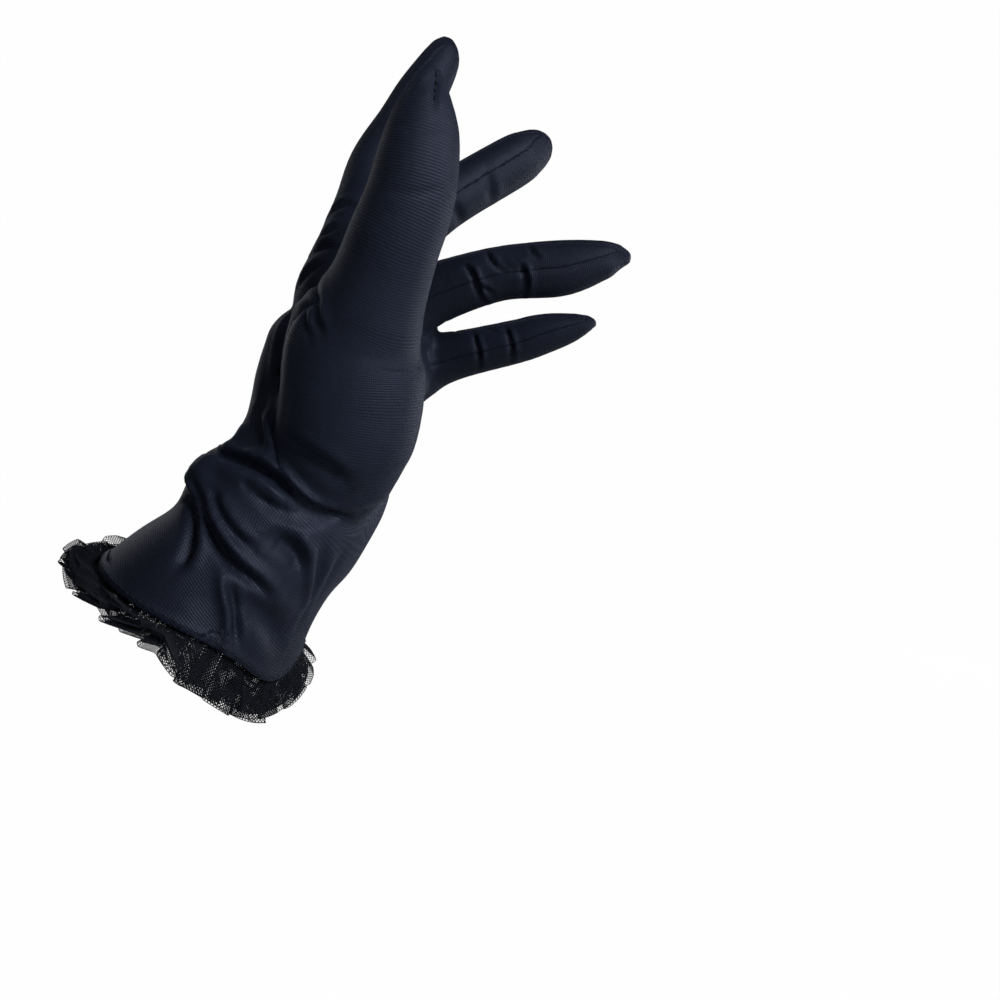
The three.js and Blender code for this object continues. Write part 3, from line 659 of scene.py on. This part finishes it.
def tricot_material(name, ribs=1.0):
    material, start = material_of(name)
    position = start.node("ShaderNodeTexCoord", {}, {}, 3)
    course = start.node("ShaderNodeAttribute", {"attribute_name": "course"}, {}, 2)
    across = start.node("ShaderNodeAttribute", {"attribute_name": "around_x"}, {}, 2)
    palmwards = start.node("ShaderNodeAttribute", {"attribute_name": "around_y"}, {}, 2)
    cloudy = start.node("ShaderNodeTexNoise", {}, {"Vector": position, "Scale": 38.0, "Detail": 3.0})
    grain = start.node("ShaderNodeTexNoise", {}, {"Vector": position, "Scale": 900.0, "Detail": 2.0})
    slub = start.node("ShaderNodeTexNoise", {}, {"Vector": position, "Scale": 260.0, "Detail": 2.0})
    rib = (course * (2 * math.pi / COURSE_PITCH) + (slub - 0.5) * 2.2).sine() * 0.5 + 0.5
    around = start.sum("ARCTAN2", palmwards, across) * LIMB_RADIUS
    wale = (around * (2 * math.pi / WALE_PITCH) + (grain - 0.5) * 1.5).sine() * 0.5 + 0.5
    weave = rib * 0.5 + wale * 0.28 + grain * 0.4
    stretch_and_shade = start.node("ShaderNodeAttribute", {"attribute_name": "stretch_and_shade"}, {}, 2)
    # The tone is scaled by stretch and by the painted shade over the fingers and in the cuff.
    tone = (weave * 0.85 + cloudy * 0.5 - 0.22) * stretch_and_shade
    colour = tone.mix(NAVY_DEEP, NAVY_LIT)
    worn = start.sum("SMOOTH_MIN", start.sum("MAXIMUM", (cloudy - 0.5) * 3.0, 0.0), 1.0)
    colour = (worn * 0.6).mix(colour, NAVY_WORN)
    bump = start.node("ShaderNodeBump", {}, {"Strength": 0.6, "Distance": 0.00018, "Height": weave * ribs})
    finish_material(start, {
        "Base Color": colour,
        "Roughness": 0.62 - rib * 0.12 + (grain - 0.5) * 0.1,
        "Specular IOR Level": 0.28,
        "Specular Tint": (0.72, 0.78, 1.0, 1),
        "Sheen Weight": 0.055,
        "Sheen Roughness": 0.35,
        "Sheen Tint": (0.42, 0.5, 0.72, 1),
        "Normal": bump,
    })
    return material


CLOTH_THICKNESS = 0.8
SEAM_PULL = 0.04             # how far a cut edge stands back from its seam
tricot = tricot_material("tricot")
fourchette_tricot = tricot_material("fourchette tricot", 0.8)


def tricot_piece(name, keep, material):
    """The part of the cloth whose faces keep() picks, as a piece with its thickness."""
    kept = [keep(face) for face in cloth.faces]
    bm = cloth.copy()
    bmesh.ops.delete(bm, geom=[f for f, stays in zip(bm.faces, kept) if not stays], context="FACES")
    bmesh.ops.delete(bm, geom=[v for v in bm.verts if not v.link_faces], context="VERTS")
    above_hem = bm.verts.layers.float["above_hem"]
    edge = [v for v in bm.verts if v.is_boundary and v[above_hem] > 1]
    moves = {}
    for vert in edge:
        inner = [e.other_vert(vert).co for e in vert.link_edges if not e.other_vert(vert).is_boundary]
        if inner:
            moves[vert] = (sum(inner, Vector()) / len(inner) - vert.co).normalized() * SEAM_PULL
    for vert, move in moves.items():
        vert.co += move
    bmesh.ops.scale(bm, verts=bm.verts, vec=(MM, MM, MM))
    piece = object_of(bm, name)
    thickness = piece.modifiers.new("thickness", "SOLIDIFY")
    thickness.thickness = CLOTH_THICKNESS * MM
    thickness.offset = -1
    piece.data.materials.append(material)
    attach(piece, "root")
    return piece


def only(name):
    return lambda face: inside(face, layers[name])


def none_of(names):
    return lambda face: not any(inside(face, layers[name]) for name in names)


# The trank: the palm, the back and the four fingers' fronts and backs, cut as one piece of tricot folded
# along the thumb's side and closed along the little finger's, with a hole for the thumb.
trank = tricot_piece("hand_trank", none_of(fields), tricot)
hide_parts("hand")

# The thumb, with the oval gusset over its ball in one piece, set into the hole of the trank.
thumb = tricot_piece("thumb_set_in", only("thumb"), tricot)
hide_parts("thumb")

# The fourchettes: three narrow forked strips that give the fingers their depth.
for name, _, _ in FOURCHETTES:
    strip = tricot_piece(name + "_strip", only(name), fourchette_tricot)
    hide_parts(name)

# The ruffle: two strips of tulle, cut square and left raw, laid on each other, gathered to the hem in flat
# folds and stitched under it. Each fold lies over its neighbour, so that only single edges can be seen
# through. Round is how far round a fold has come, in folds, out how far it stands, in millimetres, and own
# how much of its own lean and slip there is.
# round, out, own
FOLD_SHAPE = np.array([
    (0.0, -0.2, 0.5), (0.05, 1.5, 1), (0.5, 1.9, 1), (0.97, 2.4, 1), (1.08, 0.9, 0.8), (0.03, -1.2, 0.2),
    (0.09, -2.2, 0)])
FOLD_COUNT = 21
RUFFLE_LENGTH, RUFFLE_TUCK, RUFFLE_BEND = 13.0, 3.0, 5.0
NET_PITCH, THREAD_RADIUS, EDGE_THREAD_RADIUS = 0.92, 0.11, 0.12
STRAND_STEP = 1.26
PLAN_POINTS = 2001           # how many samples there are of a strip's line
EDGE_POINTS = 1201           # how many points the thread along a cut edge has
EDGE_END = 0.9999            # the share of the strip at which that thread ends, just short of its start
PRESSED = 0.25               # how far the folds stand at the hem, of what they do at their outer edge
OPENING = 0.8                # how they open out on the way there, 1 for evenly and less for sooner
FOLD_ROUNDING = 3            # how many of the line's samples a fold is rounded over
FLIPPED = 0.35               # the share of the folds that lie the other way
# How much the folds differ: their width and height as shares, lean in degrees and slip in millimetres.
WIDTHS, HEIGHTS, LEANS, SLIPS = (0.86, 1.0), (0.7, 1.3), (-15, 12), (-1.3, 1.3)
LEAST_LEAN = 0.1             # in radians, so that the bend under the hem keeps a radius
# How the ruffle lies: how far it leans outwards from hanging straight, at turns round the hem, in degrees.
# turn, lean
RUFFLE_LIE = np.array([
    (-180, 28), (-145, 32), (-125, 75), (-105, 98), (-30, 95), (8, 90), (23, 28), (34, 16), (46, 26),
    (60, 19), (76, 30), (92, 46), (110, 54), (130, 48), (150, 34)])
hem_middle, hem_along = palm_limb.middle[0], palm_limb.along[0]
hem_ring = np.array([palm_limb.point(0, turn) - hem_middle for turn in range(361)])
hem_round = np.linalg.norm(np.diff(hem_ring, axis=0), axis=1).sum()
FOLD_PITCH = hem_round / FOLD_COUNT


class Gathered:
    """One gathered strip: the line that its folds lie along, round the hem and out from it."""

    def __init__(self, seed, length, inset, shift):
        self.length, self.inset, self.shift = length, inset, shift
        rng = random.Random(seed)
        corners = []
        for k in range(FOLD_COUNT):
            width, height, lean, slip = (rng.uniform(*span) for span in (WIDTHS, HEIGHTS, LEANS, SLIPS))
            shape = FOLD_SHAPE * (width, height, 1)
            if rng.random() < FLIPPED:
                shape[1:] = (width, 0, 0) + shape[:0:-1] * (-1, 1, 1)
            for around, out, own in shape:
                corners.append((around + k, out, own * lean, own * slip))
        corners = np.array(corners + [(FOLD_COUNT, *corners[0][1:])])
        corners[:, 0] *= FOLD_PITCH
        run = run_of(corners[:, :2])
        self.cut_length = run[-1]
        self.plan = np.linspace(0, run[-1], PLAN_POINTS)
        self.columns = [np.interp(self.plan, run, column) for column in corners.T]
        rounding = np.ones(FOLD_ROUNDING) / FOLD_ROUNDING
        inner = slice(FOLD_ROUNDING, -FOLD_ROUNDING)
        for line in self.columns:
            line[inner] = np.convolve(line, rounding, "same")[inner]

    def places(self, share, down):
        """Places on the strip at shares of its cut length, and down from the hem in millimetres."""
        on_plan = np.mod(share, 1) * self.cut_length
        around, stands, own_lean, slip = (np.interp(on_plan, self.plan, line) for line in self.columns)
        down = down + slip
        turn = (around + self.shift) / hem_round * 360
        start = np.stack([np.interp(turn % 360, np.arange(361), column) for column in hem_ring.T], axis=-1)
        out = unit(start)
        lean = np.radians(np.interp(turn, *RUFFLE_LIE.T, period=360) + own_lean)
        lean = np.maximum(lean, LEAST_LEAN)
        bent = np.clip(down, 0, RUFFLE_BEND)
        tilt = lean * bent / RUFFLE_BEND
        past = down - bent
        stands = stands * (PRESSED + (1 - PRESSED) * np.clip(down / self.length, 0, 1) ** OPENING)
        outwards = RUFFLE_BEND / lean * (1 - np.cos(tilt)) + np.maximum(past, 0) * np.sin(lean)
        outwards = outwards + stands * np.cos(tilt) - self.inset
        downwards = RUFFLE_BEND / lean * np.sin(tilt) + past * np.where(past > 0, np.cos(lean), 1)
        upwards = stands * np.sin(tilt) - downwards - hem_drop(turn, 0)
        return hem_middle + start + out * outwards[:, None] + hem_along * upwards[:, None]


ASKEW = (0.31, 0.17, 0.94)   # a direction that no thread runs along


def tubes(bm, lines, radius, sides=3):
    """Closed threads round lines that have as many points each."""
    lines = np.asarray(lines)
    count, length = lines.shape[:2]
    run = unit(np.gradient(lines, axis=1))
    first = unit(np.cross(run, ASKEW))
    second = np.cross(run, first)
    angles = np.linspace(0, 2 * math.pi, sides + 1)[:, None, None, None]
    rings = (lines + radius * (np.cos(angles) * first + np.sin(angles) * second)).reshape(sides + 1, -1, 3)
    thread_of = {}

    def place(around, up):
        side, row = round(around * sides), round(up * (count * length - 1))
        co = Vector(rings[side % sides, row])
        thread_of[co.copy().freeze()] = row // length
        return co
    verts = grid_of(bm, sides, count * length - 1, place)
    between = [
        f for f in {f for v in verts for f in v.link_faces}
        if len({thread_of[v.co.copy().freeze()] for v in f.verts}) > 1]
    bmesh.ops.delete(bm, geom=between, context="FACES")
    bmesh.ops.remove_doubles(bm, verts=verts, dist=1e-6)


def threads(bm, name):
    """The piece that closed threads make."""
    bmesh.ops.holes_fill(bm, edges=[e for e in bm.edges if e.is_boundary], sides=0)
    bmesh.ops.recalc_face_normals(bm, faces=bm.faces)
    bmesh.ops.scale(bm, verts=bm.verts, vec=(MM, MM, MM))
    return object_of(bm, name)


# Tulle: nylon monofilament, dyed black, a little glossy.
tulle, start = material_of("tulle")
position = start.node("ShaderNodeTexCoord", {}, {}, 3)
tint = start.node("ShaderNodeTexNoise", {}, {"Vector": position, "Scale": 120.0, "Detail": 2.0})
finish_material(start, {
    "Base Color": tint.mix((0.0035, 0.004, 0.007, 1), (0.009, 0.010, 0.016, 1)),
    "Roughness": 0.55 + tint * 0.2,
    "Specular IOR Level": 0.2,
})

# name, seed, length, how far inside the hem, shift round it
RUFFLE_LAYERS = (("ruffle_net", 11, RUFFLE_LENGTH, 1.9, 0.0), ("ruffle_net_under", 5, 11.6, 2.6, 4.3))
for name, seed, length, inset, shift in RUFFLE_LAYERS:
    gathered = Gathered(seed, length, inset, shift)
    net = bmesh.new()
    reach = length + RUFFLE_TUCK
    strands = round(gathered.cut_length / NET_PITCH)
    steps = max(round(reach * math.sqrt(2) / (STRAND_STEP * 1)), 4)
    up = np.linspace(0, reach, steps + 1)
    starts = np.arange(strands)[:, None] * NET_PITCH
    for lean in (1, -1):
        share = (starts + lean * up) / gathered.cut_length
        strand_points = gathered.places(share.ravel(), np.tile(up - RUFFLE_TUCK, strands))
        tubes(net, strand_points.reshape(strands, -1, 3), THREAD_RADIUS)
    cut_edge = gathered.places(np.linspace(0, EDGE_END, EDGE_POINTS), np.full(EDGE_POINTS, length))
    tubes(net, [cut_edge], EDGE_THREAD_RADIUS)
    ruffle = threads(net, name)
    ruffle.data.materials.append(tulle)
    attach(ruffle, "root")
    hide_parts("ruffle")

# The stitches that show, in thread of the cloth's own colour: a row above the hem, which holds the ruffle
# too, and a few at the thumb's tip.
STITCH, STITCH_GAP, STITCH_RADIUS, STITCH_STAND = 1.9, 0.7, 0.16, 0.1
# share of the stitch, how far it is sunk there
STITCH_SHAPE = ((0, 0.5), (0.15, 0), (0.5, -0.06), (0.85, 0), (1, 0.5))
HEM_STITCHES_UP = 1.9        # how far above the hem their row is
STITCHES_THUMB = ((436, 71), (436, 84), (435, 98), (434, 108))
cover = BVHTree.FromBMesh(cloth)


def stitches(bm, line):
    """Stitches along a line of places on the cloth."""
    line = np.asarray(line)
    run = run_of(line)
    made = []
    for start in np.arange(0, run[-1] - STITCH, STITCH + STITCH_GAP):
        points = []
        for share, sunk in STITCH_SHAPE:
            at = Vector([float(np.interp(start + share * STITCH, run, column)) for column in line.T])
            near, normal = cover.find_nearest(at)[:2]
            points.append(near + normal * (STITCH_STAND - sunk))
        made.append(points)
    tubes(bm, made, STITCH_RADIUS, 5)


def hem_line():
    """The places of the hem's row of stitches."""
    line = []
    for turn in range(0, 361, 3):
        base = hem_middle + hem_ring[turn] + hem_along * (HEM_STITCHES_UP - hem_drop(turn, 0))
        line.append(cover.find_nearest(Vector(base))[0])
    return line


sewn = bmesh.new()
stitches(sewn, hem_line())
stitches(sewn, on_cloth(cover, STITCHES_THUMB))
stitching = threads(sewn, "stitching")
thread, start = material_of("thread")
position = start.node("ShaderNodeTexCoord", {}, {}, 3)
twist = start.node("ShaderNodeTexWave", {}, {"Vector": position, "Scale": 900.0, "Distortion": 2.0}, 1)
finish_material(start, {
    "Base Color": twist.mix((0.004, 0.005, 0.010, 1), (0.015, 0.019, 0.033, 1)),
    "Roughness": 0.6 - twist * 0.15,
    "Specular IOR Level": 0.3,
    "Normal": start.node("ShaderNodeBump", {}, {"Strength": 0.4, "Distance": 0.0001, "Height": twist}),
})
stitching.data.materials.append(thread)
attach(stitching, "root")

# A plain white paper sweep, well below the glove, curving up behind it. Metres.
FLOOR = -0.16
SWEEP_WIDTH, SWEEP_FRONT, SWEEP_BEND, SWEEP_BACK, SWEEP_TOP = 6.0, -2.5, 1.6, 2.6, 3.4
FLAT_SHARE, BENT_SHARE = 0.4, 0.7    # how much of the sheet is past by the end of the floor, and of the bend


def sweep_place(across, up):
    x = (across - 0.5) * 2 * SWEEP_WIDTH
    bend = SWEEP_BACK - SWEEP_BEND
    if up < FLAT_SHARE:
        return Vector((x, SWEEP_FRONT + (SWEEP_BEND - SWEEP_FRONT) * up / FLAT_SHARE, FLOOR))
    if up < BENT_SHARE:
        angle = (up - FLAT_SHARE) / (BENT_SHARE - FLAT_SHARE) * math.pi / 2
        return Vector((x, SWEEP_BEND + bend * math.sin(angle), FLOOR + bend * (1 - math.cos(angle))))
    return Vector((x, SWEEP_BACK, FLOOR + bend + (SWEEP_TOP - bend) * (up - BENT_SHARE) / (1 - BENT_SHARE)))


sweep_mesh = bmesh.new()
grid_of(sweep_mesh, 4, 60, sweep_place)
sweep = object_of(sweep_mesh, "paper_sweep")
paper, start = material_of("paper")
glow = start.node("ShaderNodeLightPath", {}, {})
lit = start.node("ShaderNodeBsdfDiffuse", {}, {"Color": (0.5, 0.5, 0.5, 1)})
white = start.node("ShaderNodeEmission", {}, {"Color": (1, 1, 1, 1), "Strength": 1.0})
mixed = start.node("ShaderNodeMixShader", {}, {0: glow * 0.99, 1: lit, 2: white})
start.node("ShaderNodeOutputMaterial", {}, {"Surface": mixed})
sweep.data.materials.append(paper)

# Soft studio light: a large key in front, high on the right, a rim light behind on the right that draws the
# edge of the heel, a weak fill in front on the left and a weak light behind on the left. The room looks
# white, but gives the glove little light.
ROOM_DIM = 0.035             # how bright the room is to the glove, next to the white that it looks
DAYLIGHT = (0.91, 0.94, 1.0)
LOOK_AT = Vector((0.06, 0.0, 0.07))
# name, place, size, watts
LIGHTS = (
    ("key", (0.72, -0.56, 0.38), 0.35, 8.6),
    ("rim", (0.8, 0.55, 0.0), 0.6, 3.0),
    ("fill", (-0.42, -0.75, 0.5), 0.5, 0.6),
    ("back", (-0.7, 0.6, 0.5), 0.6, 1.0),
)
for name, place, size, watts in LIGHTS:
    light = bpy.data.objects.new(name, bpy.data.lights.new(name, "AREA"))
    light.data.size = size
    light.data.energy = watts
    light.data.color = DAYLIGHT
    light.location = place
    light.rotation_euler = (LOOK_AT - Vector(place)).to_track_quat("-Z", "Y").to_euler()
    bpy.context.scene.collection.objects.link(light)
world = bpy.data.worlds.new("room")
world.use_nodes = True
world.node_tree.nodes.clear()
start = Wire(world.node_tree)
seen_straight = start.node("ShaderNodeLightPath", {}, {})
room_light = start.node("ShaderNodeBackground", {}, {
    "Color": (0.9, 0.94, 1.0, 1), "Strength": seen_straight * (1 - ROOM_DIM) + ROOM_DIM})
start.node("ShaderNodeOutputWorld", {}, {"Surface": room_light})
bpy.context.scene.world = world
bpy.context.scene.view_settings.view_transform = "Standard"

bpy.context.view_layer.update()
